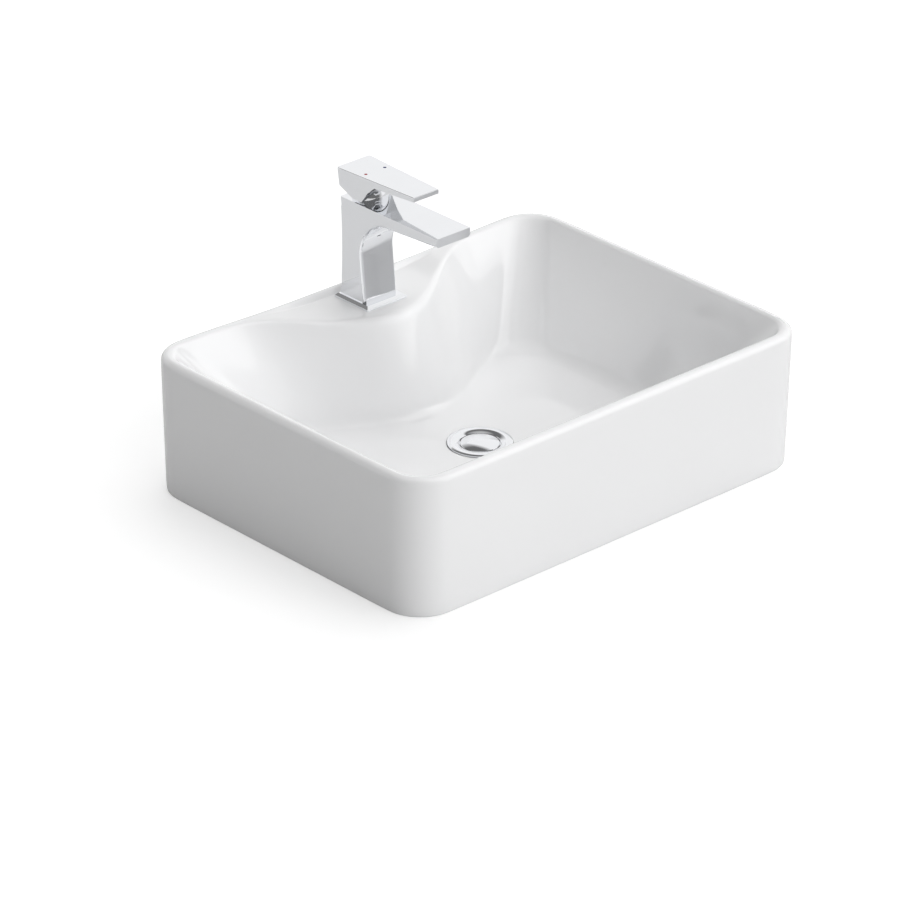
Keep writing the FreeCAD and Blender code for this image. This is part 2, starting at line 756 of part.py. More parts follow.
def underside_edge(edge):
    """Picks the edges that run up the column's front, round the throat and along the spout's underside."""
    box = edge.BoundBox
    on_side = box.XLength < 1e-3
    in_front = box.YMax < column_back.value - 1e-3 and box.YMin > -spout_reach.value - 1e-3
    return on_side and in_front and tap_foot.value + 1.0 < box.ZMax < tap_top.value - 1.0


def column_back_corner(edge):
    box = edge.BoundBox
    return box.ZLength > tap_height.value - 1e-3 and abs(box.YMax - column_back.value) < 1e-3


tap_body.dress("Fillet", throat_corner, throat_radius)
tap_body.dress("Fillet", underside_edge, column_edge)
tap_body.dress("Fillet", column_back_corner, column_back_edge)
tap_body.solid("AdditiveCylinder", z=shank_bottom, Radius=shank_radius, Height=tap_foot - shank_bottom + 1)
tap_body.bore(nut_radius + loose_fit, nut_seat, tap_top + 1)
tap_body.bore(cartridge_radius + loose_fit, cartridge_seat, tap_top)
inlet_top = shank_bottom + inlet_depth
for way in (-1, 1):
    inlet_x = inlet_spacing * (way / 2)
    tap_body.bore(inlet_radius, shank_bottom - 1, inlet_top, inlet_x, -inlet_forward)
    tap_body.bore(port_radius, inlet_top - port_radius, cartridge_seat + 1, port_circle * way)
tap_body.bore(stud_radius + running_fit, shank_bottom - 1, shank_bottom + stud_grip, ZERO, stud_back)
aerator_y = aerator_back - spout_reach
aerator_roof = tap_top - spout_roof
aerator_bottom = aerator_roof - waterway_radius * 2 - aerator_gasket_thickness - aerator_height
aerator_top = aerator_bottom + aerator_height
tap_body.bore(aerator_radius + loose_fit, aerator_bottom - spout_tip_height, aerator_roof, ZERO, aerator_y)
waterway_level = aerator_roof - waterway_radius
groove_y = -(cartridge_radius + loose_fit)
groove_bottom = tap_top - waterway_drop
groove_top = nut_seat - waterway_cover
tap_body.bore(waterway_radius, groove_bottom, groove_top, ZERO, groove_y)
waterway_run = Vector(0, (groove_y - aerator_y).value, (groove_top - waterway_radius - waterway_level).value)
waterway_turn = -90 + math.degrees(math.atan2(waterway_run.z, waterway_run.y))
tap_body.solid("SubtractiveCylinder", ZERO, aerator_y, waterway_level, (Vector(1, 0, 0), waterway_turn),
               Radius=waterway_radius, Height=groove_y - aerator_y)

piece("fixing_stud", tap_y).solid("AdditiveCylinder", ZERO, stud_back, shank_bottom + stud_grip - stud_length,
                                  Radius=stud_radius, Height=stud_length)
clamp_levels = (("clamp_rubber", deck_underside - clamp_rubber_thickness, clamp_rubber_thickness),
                ("clamp_plate", deck_underside - clamp_rubber_thickness - clamp_plate_thickness,
                 clamp_plate_thickness))
slot_y = stud_back - clamp_slot_radius - stud_radius * 2
for label, level, thickness in clamp_levels:
    clamp = piece(label, tap_y)
    clamp.solid("AdditiveCylinder", z=level, Radius=clamp_radius, Height=thickness)
    clamp.bore(clamp_slot_radius, level - 1, level + thickness + 1, ZERO, slot_y)
    clamp.cut("XY_Plane", rectangle(clamp_slot_radius * 2, clamp_radius * 2, slot_y - clamp_radius),
              thickness + 2, level + thickness + 1)
    clamp.bore(stud_radius + loose_fit, level - 1, level + thickness + 1, ZERO, stud_back)
clamp_nut_top = clamp_levels[-1][1]
clamp_nut_bottom = clamp_nut_top - clamp_nut_height
clamp_nut = piece("clamp_nut", tap_y)
clamp_nut.padded("XY_Plane", polygon(clamp_nut_flats / math.sqrt(3), 6, stud_back), clamp_nut_height,
                 clamp_nut_bottom)
clamp_nut.bore(stud_radius + running_fit, clamp_nut_bottom - 1, clamp_nut_top + 1, ZERO, stud_back)

# Tap: aerator in the spout's tip
outlet_y = tap_y + aerator_y
mesh_radius = aerator_radius - aerator_wall
piece("aerator_housing", outlet_y).turned([
    (mesh_radius - aerator_wall, aerator_bottom), (aerator_radius, aerator_bottom),
    (aerator_radius, aerator_top), (mesh_radius, aerator_top), (mesh_radius, aerator_bottom + aerator_wall),
    (mesh_radius - aerator_wall, aerator_bottom + aerator_wall)])
aerator_insert = piece("aerator_insert", outlet_y)
aerator_insert.solid("AdditiveCylinder", z=aerator_bottom + aerator_wall, Radius=mesh_radius - running_fit,
                     Height=aerator_height - aerator_wall)
for i in range(6):
    angle = i * math.pi / 3
    aerator_insert.bore(aerator_wall * 0.7, aerator_bottom, aerator_top + 1,
                        mesh_radius * 0.6 * math.cos(angle), mesh_radius * 0.6 * math.sin(angle))
piece("aerator_gasket", outlet_y).ring(mesh_radius - aerator_wall, aerator_radius, aerator_top,
                                       aerator_top + aerator_gasket_thickness)

# Tap: ceramic disc cartridge and the nut that holds it
housing_bottom = cartridge_seat + port_seal_thickness
chamber_floor = housing_bottom + cartridge_floor
chamber_radius = cartridge_radius - cartridge_wall
housing_lip = nut_seat - cartridge_wall * 2
fixed_top = chamber_floor + disc_thickness
moving_bottom = fixed_top + running_fit
moving_top = moving_bottom + disc_thickness
carrier_top = moving_top + carrier_thickness
guide_bottom = carrier_top + moving_gap
guide_top = tap_top + guide_neck_rise
neck_bore = guide_neck_radius + running_fit
rest_y = disc_throw / 2
guide_bore = carrier_post_radius + rest_y + moving_gap
arm_tilt = math.asin(rest_y.value / stem_arm.value)
ball_level = pivot_level - stem_arm * math.cos(arm_tilt)


def ported(made, bottom, top):
    """Drill the hot and the cold port."""
    for way in (-1, 1):
        made.bore(port_radius, bottom - 1, top + 1, port_circle * way)


port_seal = piece("port_seal", tap_y)
port_seal.solid("AdditiveCylinder", z=cartridge_seat, Radius=chamber_radius, Height=port_seal_thickness)
ported(port_seal, cartridge_seat, housing_bottom)
cartridge_housing = piece("cartridge_housing", tap_y).turned([
    (ZERO, housing_bottom), (cartridge_radius, housing_bottom), (cartridge_radius, nut_seat),
    (neck_bore, nut_seat), (neck_bore, housing_lip), (chamber_radius, housing_lip),
    (chamber_radius, chamber_floor), (ZERO, chamber_floor)])
ported(cartridge_housing, housing_bottom, chamber_floor)
cartridge_housing.solid("SubtractiveCylinder", ZERO, -cartridge_radius * 2, groove_bottom + waterway_radius,
                        ALONG_Y, Radius=waterway_radius, Height=cartridge_radius * 2)
fixed_disc = piece("fixed_disc", tap_y)
fixed_disc.solid("AdditiveCylinder", z=chamber_floor, Radius=chamber_radius - loose_fit,
                 Height=disc_thickness)
ported(fixed_disc, chamber_floor, fixed_top)

moving_disc = piece("moving_disc", tap_y)
moving_disc.solid("AdditiveCylinder", ZERO, rest_y, moving_bottom, Radius=disc_radius, Height=disc_thickness)
moving_disc.solid("SubtractiveCylinder", ZERO, rest_y - port_radius, moving_bottom - 1,
                  Radius=port_radius * 2, Height=disc_thickness / 2 + 1)
disc_carrier = piece("disc_carrier", tap_y)
disc_carrier.solid("AdditiveCylinder", ZERO, rest_y, moving_top, Radius=disc_radius, Height=carrier_thickness)
disc_carrier.solid("AdditiveCylinder", ZERO, rest_y, moving_top, Radius=carrier_post_radius,
                   Height=ball_level + stem_ball_radius / 2 - moving_top)
disc_carrier.bore(stem_ball_radius + moving_gap / 2, ball_level - stem_ball_radius * 1.6, tap_top,
                  ZERO, rest_y)

guide_flange = chamber_radius - moving_gap / 2
guide_roof = ball_level + stem_ball_radius + moving_gap
guide = piece("swivel_guide", tap_y).turned([
    (guide_bore, guide_bottom), (guide_flange, guide_bottom), (guide_flange, housing_lip - running_fit),
    (guide_neck_radius, housing_lip - running_fit), (guide_neck_radius, guide_top), (ZERO, guide_top),
    (ZERO, guide_roof), (guide_bore, guide_roof)])
guide.cut("XY_Plane", rectangle(stem_width + loose_fit * 2, guide_bore * 2), guide_top - ball_level,
          guide_top + 1)
guide.solid("SubtractiveCylinder", -guide_neck_radius * 2, ZERO, pivot_level, ALONG_X, Radius=pivot_radius,
            Height=guide_neck_radius * 4)
pin_length = guide_neck_radius * 1.9
piece("pivot_pin", tap_y).solid("AdditiveCylinder", -pin_length / 2, ZERO, pivot_level, ALONG_X,
                                Radius=pivot_radius, Height=pin_length)

stem_top = tap_top + stem_height
stem_bottom = pivot_level - stem_depth / 2
lever_stem = piece("lever_stem", tap_y)
lever_stem.padded("XY_Plane", rectangle(stem_width, stem_depth), stem_top - stem_bottom, stem_bottom)
lever_stem.solid("AdditiveCylinder", ZERO, rest_y, ball_level, (Vector(1, 0, 0), math.degrees(arm_tilt)),
                 Radius=stem_ball_radius * 0.7, Height=stem_arm - pivot_radius)
lever_stem.solid("AdditiveSphere", ZERO, rest_y, ball_level, Radius=stem_ball_radius)
lever_stem.solid("SubtractiveCylinder", -stem_width, ZERO, pivot_level, ALONG_X,
                 Radius=pivot_radius + running_fit, Height=stem_width * 2)

spigot_bottom = nut_seat + nut_thickness
piece("cartridge_nut", tap_y).ring(neck_bore + moving_gap / 2, nut_radius, nut_seat, spigot_bottom)

# Tap: shroud, a part sphere round the lever's pivot
shroud = piece("shroud", tap_y)
shroud.solid("AdditiveSphere", z=pivot_level, Radius=shroud_radius)
shroud.solid("SubtractiveBox", -shroud_radius * 2, -shroud_radius * 2, tap_top - shroud_radius * 2,
             Length=shroud_radius * 4, Width=shroud_radius * 4, Height=shroud_radius * 2)
shroud.solid("AdditiveCylinder", z=spigot_bottom, Radius=nut_radius, Height=tap_top - spigot_bottom + 1)
shroud.solid("SubtractiveSphere", z=pivot_level, Radius=shroud_radius - shroud_wall)
shroud.bore(nut_radius - shroud_wall, spigot_bottom - 1, pivot_level)
shroud.bore(shroud_mouth_radius, pivot_level, pivot_level + shroud_radius + 1)

# Tap: lever, a tapered paddle with two cheeks that straddle the shroud
lever_top = tap_top + lever_rise
lever_under = lever_top - lever_root_height
cheek_bottom = tap_top + cheek_clearance
heel_level = tap_top + cheek_heel_height
lever = piece("lever_handle", tap_y)
lever.padded("YZ_Plane", [
    (lever_back, lever_top), (-lever_front, lever_top), (-lever_front, lever_top - lever_tip_height),
    (-cheek_front, lever_under), (-(cheek_toe + cheek_front) / 2, cheek_bottom + cheek_heel_height),
    (-cheek_toe, cheek_bottom), (cheek_clearance, cheek_bottom),
    (lever_back - cheek_clearance, heel_level)],
    lever_back_width, both_ways=True)
for way in (-1, 1):
    back_x = lever_back_width * (way / 2)
    tip_x = lever_tip_width * (way / 2)
    far_x = lever_back_width * way
    lever.cut("XY_Plane", [(back_x, lever_back), (tip_x, -lever_front), (tip_x, -lever_front - 1),
                           (far_x, -lever_front - 1), (far_x, lever_back)], lever_rise + 2, lever_top + 1)


def lever_back_corner(edge):
    box = edge.BoundBox
    return box.YMin > (lever_back - cheek_clearance).value - 1e-3 and box.ZLength > 5.0


lever.dress("Fillet", lever_back_corner, lever_corner)
lever.dress("Fillet", at_level(lever_top), lever_edge)
lever.solid("SubtractiveSphere", z=pivot_level, Radius=shroud_radius + moving_gap)
hub_bottom = lever_under - hub_height
lever.solid("AdditiveCylinder", z=hub_bottom, Radius=hub_radius,
            Height=lever_top - lever_tip_height - hub_bottom)
lever.cut("XY_Plane", rectangle(stem_width + running_fit * 2, stem_depth + running_fit * 2),
          stem_top - hub_bottom + 1, stem_top)
screw_level = lever_under + set_screw_radius / 2
lever.solid("SubtractiveCylinder", ZERO, ZERO, screw_level, ALONG_Y, Radius=set_screw_radius + running_fit,
            Height=lever_back + 1)
back_slope = cheek_clearance / (lever_top - heel_level)
cover_end = lever_back - back_slope * (lever_top - screw_level + screw_cover_radius)
cover_start = cover_end - screw_cover_length
lever.solid("SubtractiveCylinder", ZERO, cover_start, screw_level, ALONG_Y,
            Radius=screw_cover_radius + running_fit, Height=screw_cover_length * 2)
dot_bottom = lever_top - dot_depth
for label, way in (("hot_dot", -1), ("cold_dot", 1)):
    dot_x = dot_spacing * (way / 2)
    lever.bore(dot_radius + running_fit, dot_bottom, lever_top + 1, dot_x, -dot_forward)
    piece(label, tap_y).solid("AdditiveCylinder", dot_x, -dot_forward, dot_bottom, Radius=dot_radius,
                              Height=dot_depth)
piece("set_screw", tap_y).solid("AdditiveCylinder", ZERO, stem_depth / 2 + running_fit, screw_level, ALONG_Y,
                                Radius=set_screw_radius, Height=set_screw_length)
piece("screw_cover", tap_y).solid("AdditiveCylinder", ZERO, cover_start, screw_level, ALONG_Y,
                                  Radius=screw_cover_radius, Height=screw_cover_length)

doc.recompute()
for made in doc.Objects:
    if "Invalid" in made.State or "Error" in made.State:
        raise RuntimeError(f"{made.Label} failed: {made.State}")
os.makedirs("parts", exist_ok=True)
for made in pieces:
    shape = made.Shape
    if shape.isNull() or not shape.isValid() or shape.Volume <= 0:
        raise RuntimeError(f"{made.Label} has no valid solid")
for made in pieces:
    made.Shape.exportStep(f"parts/{made.Label}.step")
    print(f"{made.Label:20s} {len(made.Shape.Solids)} solid  {made.Shape.Volume:10.1f} mm3")
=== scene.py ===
import math

import bpy
import numpy as np
from bpy.props import FloatProperty, FloatVectorProperty, PointerProperty
from mathutils import Matrix, Vector


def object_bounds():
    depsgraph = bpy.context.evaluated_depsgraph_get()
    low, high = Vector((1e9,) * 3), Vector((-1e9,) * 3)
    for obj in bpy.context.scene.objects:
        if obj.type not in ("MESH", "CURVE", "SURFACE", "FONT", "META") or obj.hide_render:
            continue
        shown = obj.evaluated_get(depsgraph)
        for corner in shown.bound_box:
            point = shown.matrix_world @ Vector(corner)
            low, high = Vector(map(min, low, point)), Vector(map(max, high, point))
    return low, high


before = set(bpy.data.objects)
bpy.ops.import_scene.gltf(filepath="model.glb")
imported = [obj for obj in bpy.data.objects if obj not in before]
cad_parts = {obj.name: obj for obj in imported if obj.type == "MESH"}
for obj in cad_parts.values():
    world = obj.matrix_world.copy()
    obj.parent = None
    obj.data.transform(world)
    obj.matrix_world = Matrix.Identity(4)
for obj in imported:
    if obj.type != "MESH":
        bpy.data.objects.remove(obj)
CAD_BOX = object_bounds()

bl_info = {
    "name": "Countertop basin looks",
    "version": (1, 0, 0),
    "blender": (4, 5, 0),
    "location": "3D View > Sidebar > Basin",
    "description": "Dresses a countertop basin, its lever tap and its waste, and sets a studio round them",
    "category": "Object",
}

CHROME_NODES = ("tap_body", "base_plate", "shroud", "lever_handle", "waste_body", "waste_plug", "backnut",
                "aerator_housing", "screw_cover")
BRASS_NODES = ("plug_stem", "fixing_stud", "clamp_nut", "lever_stem", "cartridge_nut")
STEEL_NODES = ("return_spring", "clamp_plate", "pivot_pin", "set_screw")
RUBBER_NODES = ("flange_gasket", "plug_seal", "cone_washer", "base_gasket", "clamp_rubber", "aerator_gasket",
                "port_seal")
WHITE_PLASTIC_NODES = ("click_housing", "slip_washer", "cartridge_housing")
GREY_PLASTIC_NODES = ("aerator_insert", "disc_carrier", "swivel_guide")
DISC_NODES = ("fixed_disc", "moving_disc")

# Widths of the lumps and marks in the finishes, in metres.
GLAZE_PATCH = 0.12
GLAZE_PINHOLE = 0.0015
CHROME_PATCH = 0.02
METAL_GRAIN = 0.0015
SOFT_GRAIN = 0.0008
SOFT_BLOTCH = 0.012

# Depths of the finishes' relief, in metres, the scale of the turned marks' bands, and how much rougher the
# chrome is where it is dullest.
METAL_RELIEF = 0.00003
SOFT_RELIEF = 0.00008
TURNED_SCALE = 700.0
CHROME_DULLING = 0.02

# Material, colour, roughness, strength of the relief, and the nodes that wear it.
SOFT_FINISHES = (
    ("black_rubber", (0.018, 0.018, 0.019), 0.62, 0.12, RUBBER_NODES),
    ("white_moulding", (0.72, 0.72, 0.69), 0.38, 0.05, WHITE_PLASTIC_NODES),
    ("grey_moulding", (0.10, 0.105, 0.115), 0.42, 0.06, GREY_PLASTIC_NODES),
    ("lapped_ceramic", (0.80, 0.77, 0.70), 0.18, 0.02, DISC_NODES),
    ("red_enamel", (0.30, 0.006, 0.006), 0.45, 0.02, ("hot_dot",)),
    ("blue_enamel", (0.004, 0.012, 0.10), 0.45, 0.02, ("cold_dot",)),
)

# The camera's angles in degrees, its place about the basin's middle in metres, and its sensor in millimetres.
CAMERA_AZIMUTH = -42.738
CAMERA_ELEVATION = 26.711
CAMERA_ROLL = 0.302
CAMERA_ASIDE = -0.025927
CAMERA_RISE = 0.021237
CAMERA_DISTANCE = 5.156691
SENSOR_WIDTH = 36.0
BASIN_MIDDLE = Vector((0.0, (CAD_BOX[0][1] + CAD_BOX[1][1]) / 2, 0.0))

# How far the floor reaches each way, in metres.
FLOOR_REACH = 6.0

# Lamps: azimuth and elevation in degrees, and how wide their discs look, also in degrees.
SOFT_LAMPS = {"front": (0, 15), "right": (90, 45), "top": (0, 90), "back": (180, 45)}
SOFT_SPREAD = 80
GLEAM_PLACE = (45, 45)
GLEAM_SPREADS = (50, 80, 110)

# The room in reflections, by the parts of a direction of length 1. A pair is where a change starts and ends.
BEHIND_CAMERA = (-0.6, -0.1)
TALL_SIDE = (0.5, 0.65)
TALL_SIDE_RISE = 0.3
BACKDROP_TOP = (0.46, 0.62)
CEILING_EDGE = (0.78, 0.93)

# A Mix node's sockets for colours, which share their names with its other sockets.
MIX_FIRST, MIX_SECOND, MIX_RESULT = 6, 7, 2


class Shade:
    """A socket in a node tree. Arithmetic on shades adds Math nodes; node() adds any other node."""

    def __init__(self, tree, socket=None):
        self.tree = tree
        self.socket = socket

    def node(self, kind, settings, inputs, output=0):
        """Add a node with its settings and its sockets' values or links, and give one of its outputs."""
        made = self.tree.nodes.new(kind)
        for name, value in settings.items():
            setattr(made, name, value)
        for name, value in inputs.items():
            if isinstance(value, Shade):
                self.tree.links.new(value.socket, made.inputs[name])
            else:
                made.inputs[name].default_value = value
        return Shade(self.tree, made.outputs[output] if len(made.outputs) else None)

    def maths(self, operation, first, second):
        return self.node("ShaderNodeMath", {"operation": operation}, {0: first, 1: second})

    def __add__(self, other):
        return self.maths("ADD", self, other)

    def __sub__(self, other):
        return self.maths("SUBTRACT", self, other)

    def __mul__(self, other):
        return self.maths("MULTIPLY", self, other)

    def __radd__(self, other):
        return self.maths("ADD", other, self)

    def __rsub__(self, other):
        return self.maths("SUBTRACT", other, self)

    def __rmul__(self, other):
        return self.maths("MULTIPLY", other, self)


def blank_material(name):
    """An empty material and the shade that its nodes grow from."""
    material = bpy.data.materials.new(name)
    material.use_nodes = True
    material.node_tree.nodes.clear()
    return material, Shade(material.node_tree)


def opaque(shade, **inputs):
    """A Principled surface wired to the material's output; underscores in names stand for spaces."""
    named = {name.replace("_", " "): value for name, value in inputs.items()}
    surface = shade.node("ShaderNodeBsdfPrincipled", {}, named)
    shade.node("ShaderNodeOutputMaterial", {}, {"Surface": surface})


def place_on(shade):
    """The point of the surface, in the object's own metres."""
    return shade.node("ShaderNodeTexCoord", {}, {}, output="Object")


def cloud(shade, place, size, detail=2.0, roughness=0.5):
    """Soft noise between 0 and 1 whose lumps are about size metres across."""
    inputs = {"Vector": place, "Scale": 1.0 / size, "Detail": detail, "Roughness": roughness}
    return shade.node("ShaderNodeTexNoise", {}, inputs)


def ramp(shade, value, ends, low, high):
    """Low up to the first of two ends, high past the second, and an even change between them."""
    inputs = {"Value": value, "From Min": ends[0], "From Max": ends[1], "To Min": low, "To Max": high}
    return shade.node("ShaderNodeMapRange", {}, inputs)


def tint(colour, factor):
    return tuple(c * factor for c in colour[:3]) + (1.0,)


def mottled(shade, colour, factor, darkest, palest):
    """The colour times darkest where factor is 0, times palest where it is 1, and mixed between."""
    inputs = {"Factor": factor, MIX_FIRST: tint(colour, darkest), MIX_SECOND: tint(colour, palest)}
    return shade.node("ShaderNodeMix", {"data_type": "RGBA"}, inputs, output=MIX_RESULT)


def mingled(main, other, share):
    """Two shades added, the other one as the given share of the whole."""
    return main * (1.0 - share) + other * share


def uneven(mean, width, factor):
    """A value from half a width under the mean to half a width over it as factor goes from 0 to 1."""
    return mean - width / 2 + width * factor


def rough_skin(shade, height, depth, strength=1.0):
    """A normal that follows height, a shade of 0 to 1, as a relief depth metres deep."""
    return shade.node("ShaderNodeBump", {}, {"Height": height, "Distance": depth, "Strength": strength})


def dress(names, material):
    """Give CAD nodes one material in place of what they came with."""
    for name in names:
        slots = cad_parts[name].data.materials
        slots.clear()
        slots.append(material)


class GlazeLook(bpy.types.PropertyGroup):
    colour: FloatVectorProperty(name="Glaze colour", description="Colour of the fired white glaze", size=3,
                                subtype="COLOR", min=0, max=1, default=(0.918, 0.92, 0.926))
    roughness: FloatProperty(name="Roughness", description="Roughness of the glaze", min=0, max=1,
                             default=0.07)
    ripple: FloatProperty(name="Ripple size", description="Width of the soft ripples in the glaze",
                          unit="LENGTH", default=0.03)
    ripple_depth: FloatProperty(name="Ripple depth", description="Depth of the ripples", unit="LENGTH",
                                precision=6, default=0.00003)


class MetalLook(bpy.types.PropertyGroup):
    chrome: FloatVectorProperty(name="Chrome colour", description="Colour of the polished plating", size=3,
                                subtype="COLOR", min=0, max=1, default=(0.86, 0.87, 0.89))
    chrome_roughness: FloatProperty(name="Chrome roughness", description="Roughness of the plating", min=0,
                                    max=1, default=0.035)
    brass: FloatVectorProperty(name="Brass colour", description="Colour of the machined brass", size=3,
                               subtype="COLOR", min=0, max=1, default=(0.62, 0.44, 0.17))
    steel: FloatVectorProperty(name="Steel colour", description="Colour of the plain steel", size=3,
                               subtype="COLOR", min=0, max=1, default=(0.45, 0.45, 0.47))


class StageLook(bpy.types.PropertyGroup):
    floor: FloatVectorProperty(name="Floor colour", description="Colour of the floor", size=3,
                               subtype="COLOR", min=0, max=1, default=(0.75, 0.75, 0.75))
    front: FloatProperty(name="Front light", description="Strength of the low lamp at the front", min=0,
                         default=2.08)
    right: FloatProperty(name="Right light", description="Strength of the lamp high at the right", min=0,
                         default=1.3)
    top: FloatProperty(name="Top light", description="Strength of the wide lamp overhead", min=0, default=0.6)
    back: FloatProperty(name="Back light", description="Strength of the lamp high at the back", min=0,
                        default=0.73)
    gleam: FloatProperty(name="Gleam", description="Strength of the lamps that only the glaze's gloss shows",
                         min=0, default=1.5)
    fill: FloatProperty(name="Fill light", description="Strength of the light from all round", min=0,
                        default=0.02)
    shadow_side: FloatProperty(name="Shadow side", description="Brightness of the dim room in reflections",
                               min=0, default=0.16)
    ceiling: FloatProperty(name="Ceiling", description="Brightness added straight overhead in reflections",
                           min=0, default=0.45)
    mirror_lift: FloatProperty(name="Mirrored lift", description="White added to the floor in reflections",
                               min=0, default=0.06)
    lift: FloatProperty(name="Floor lift", description="White added to the floor where it is looked at",
                        min=0, default=0.42)
    lens: FloatProperty(name="Lens", description="Focal length on a 36 mm frame, in millimetres", min=1,
                        default=217.79)


class BasinLooks(bpy.types.PropertyGroup):
    glaze: PointerProperty(type=GlazeLook)
    metal: PointerProperty(type=MetalLook)
    stage: PointerProperty(type=StageLook)


def looks():
    return bpy.context.scene.basin_looks


class BASIN_OT_glaze(bpy.types.Operator):
    """Glaze the ceramic: a white body under a clear coat, with ripples and a trace of unevenness."""
    bl_idname = "basin.glaze"
    bl_label = "Glaze the basin"

    def execute(self, context):
        look = looks().glaze
        material, shade = blank_material("white_glaze")
        place = place_on(shade)
        ripples = cloud(shade, place, look.ripple, detail=1.0)
        patches = cloud(shade, place, GLAZE_PATCH)
        pinholes = cloud(shade, place, GLAZE_PINHOLE, detail=1.0)
        colour = mottled(shade, look.colour, patches, darkest=0.985, palest=1.01)
        roughness = uneven(look.roughness, width=0.04, factor=patches)
        relief = rough_skin(shade, mingled(ripples, pinholes, share=0.03), look.ripple_depth)
        opaque(shade, Base_Color=colour, Roughness=roughness, Normal=relief, Coat_Weight=0.3,
               Coat_Roughness=0.03, IOR=1.52)
        dress(("basin_body",), material)
        return {"FINISHED"}


class BASIN_OT_chrome(bpy.types.Operator):
    """Plate the tap's and the waste's outer pieces with polished chrome, a little duller in patches."""
    bl_idname = "basin.chrome"
    bl_label = "Plate the tap and the waste"

    def execute(self, context):
        look = looks().metal
        material, shade = blank_material("polished_chrome")
        patches = cloud(shade, place_on(shade), CHROME_PATCH, detail=4.0, roughness=0.6)
        colour = mottled(shade, look.chrome, patches, darkest=0.97, palest=1.0)
        roughness = look.chrome_roughness + CHROME_DULLING * patches
        opaque(shade, Base_Color=colour, Roughness=roughness, Metallic=1.0)
        dress(CHROME_NODES, material)
        return {"FINISHED"}


class BASIN_OT_metals(bpy.types.Operator):
    """Finish the brass and steel pieces with a fine grain and turned marks."""
    bl_idname = "basin.metals"
    bl_label = "Finish the brass and steel"

    def execute(self, context):
        look = looks().metal
        for name, colour, nodes in (("machined_brass", look.brass, BRASS_NODES),
                                    ("plain_steel", look.steel, STEEL_NODES)):
            material, shade = blank_material(name)
            place = place_on(shade)
            grain = cloud(shade, place, METAL_GRAIN, detail=4.0, roughness=0.7)
            turned = shade.node("ShaderNodeTexWave", {"wave_type": "BANDS", "bands_direction": "Z"},
                                {"Vector": place, "Scale": TURNED_SCALE, "Distortion": 0.4})
            skin = mottled(shade, colour, grain, darkest=0.85, palest=1.1)
            roughness = uneven(mean=0.32, width=0.16, factor=grain)
            relief = rough_skin(shade, mingled(turned, grain, share=0.4), METAL_RELIEF, strength=0.5)
            opaque(shade, Base_Color=skin, Roughness=roughness, Metallic=1.0, Normal=relief)
            dress(nodes, material)
        return {"FINISHED"}


class BASIN_OT_soft(bpy.types.Operator):
    """Finish the rubber seals, the moulded plastics, the lapped discs and the two enamel dots."""
    bl_idname = "basin.soft"
    bl_label = "Finish seals, plastics and dots"

    def execute(self, context):
        for name, colour, roughness, relief_strength, nodes in SOFT_FINISHES:
            material, shade = blank_material(name)
            place = place_on(shade)
            grain = cloud(shade, place, SOFT_GRAIN, detail=3.0, roughness=0.6)
            blotches = cloud(shade, place, SOFT_BLOTCH)
            skin = mottled(shade, colour, mingled(blotches, grain, share=0.3), darkest=0.9, palest=1.08)
            polish = uneven(roughness, width=0.1, factor=grain)
            relief = rough_skin(shade, grain, SOFT_RELIEF, relief_strength)
            opaque(shade, Base_Color=skin, Roughness=polish, Normal=relief)
            dress(nodes, material)
        return {"FINISHED"}


def way_to(azimuth, elevation):
    """The direction of a place seen from the basin. Angles are in degrees, and azimuth 90 is the right."""
    az, el = math.radians(azimuth), math.radians(elevation)
    return Vector((math.sin(az) * math.cos(el), -math.cos(az) * math.cos(el), math.sin(el)))


def set_camera(lens):
    """The camera, on a sphere about the basin's middle, slid sideways and up in its own picture plane."""
    back = way_to(CAMERA_AZIMUTH, CAMERA_ELEVATION)
    right = way_to(CAMERA_AZIMUTH + 90, 0)
    up = back.cross(right)
    level = Matrix((right, up, back)).transposed()
    turn = level @ Matrix.Rotation(math.radians(CAMERA_ROLL), 3, "Z")
    place = BASIN_MIDDLE + right * CAMERA_ASIDE + up * CAMERA_RISE + back * CAMERA_DISTANCE
    data = bpy.data.cameras.new("photo_camera")
    data.sensor_width = SENSOR_WIDTH
    data.lens = lens
    camera = bpy.data.objects.new("photo_camera", data)
    camera.matrix_world = Matrix.Translation(place) @ turn.to_4x4()
    bpy.context.scene.collection.objects.link(camera)
    bpy.context.scene.camera = camera


def rays(shade, *kinds):
    """1 for rays of the given kinds and 0 for all others."""
    return sum(shade.node("ShaderNodeLightPath", {}, {}, output=f"Is {kind} Ray") for kind in kinds)


